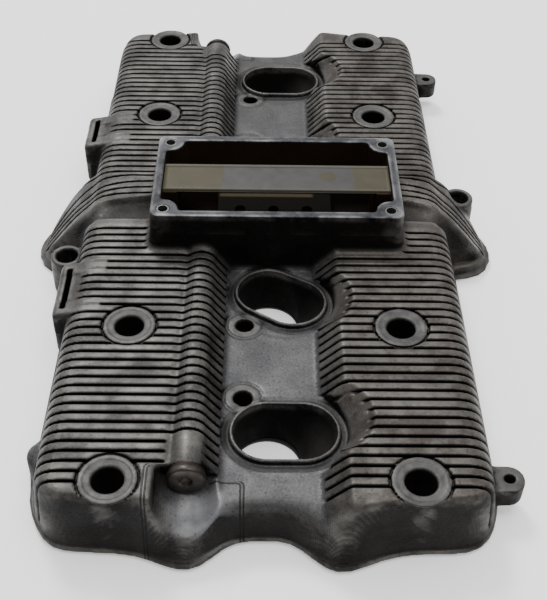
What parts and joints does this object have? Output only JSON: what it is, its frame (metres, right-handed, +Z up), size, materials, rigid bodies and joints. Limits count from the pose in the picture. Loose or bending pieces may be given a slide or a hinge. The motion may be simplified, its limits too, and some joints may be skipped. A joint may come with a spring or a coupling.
{
  "type": "cylinder head cover",
  "caption": "Finned cast cam cover for an in-line four cylinder head, with plug wells, a raised breather box, oil gallery plugs and its rubber seals.",
  "frame": {"origin": "middle of the sealing plane, on the underside of the rubber gasket", "axes": "+X across the engine towards the side with the two small ears, +Y along the camshafts away from the near end of the picture, +Z up"},
  "size_m": [0.253, 0.3996, 0.059],
  "materials": {
    "cast_aluminium": "weathered bare casting, machined seats",
    "plug_steel": "turned, slightly stained",
    "washer_copper": "dull copper",
    "bar_zinc": "yellow passivated sheet, worn grey in the middle",
    "tray_zinc": "yellow passivated sheet",
    "screw_steel": "plated",
    "sleeve_steel": "satin",
    "seal_rubber": "matt",
    "carrier_steel": "oiled",
    "pad_plastic": "matt"
  },
  "bodies": {
    "root": {"cover_casting": "cast_aluminium", "gallery_plug_front": "plug_steel", "gallery_plug_rear": "plug_steel", "gallery_washer_front": "washer_copper", "gallery_washer_rear": "washer_copper", "baffle_bar": "bar_zinc", "baffle_screws": "screw_steel", "baffle_tray": "tray_zinc", "thread_sleeve_fl": "sleeve_steel", "thread_sleeve_fr": "sleeve_steel", "thread_sleeve_rl": "sleeve_steel", "thread_sleeve_rr": "sleeve_steel", "perimeter_gasket": "seal_rubber", "plug_well_seal_1": "seal_rubber", "plug_well_seal_2": "seal_rubber", "plug_well_seal_3": "seal_rubber", "plug_well_seal_4": "seal_rubber", "dowel_sleeves": "sleeve_steel", "chain_guide_carrier": "carrier_steel", "chain_guide_pad": "pad_plastic", "chain_guide_bolts": "screw_steel"}
  },
  "joints": []
}
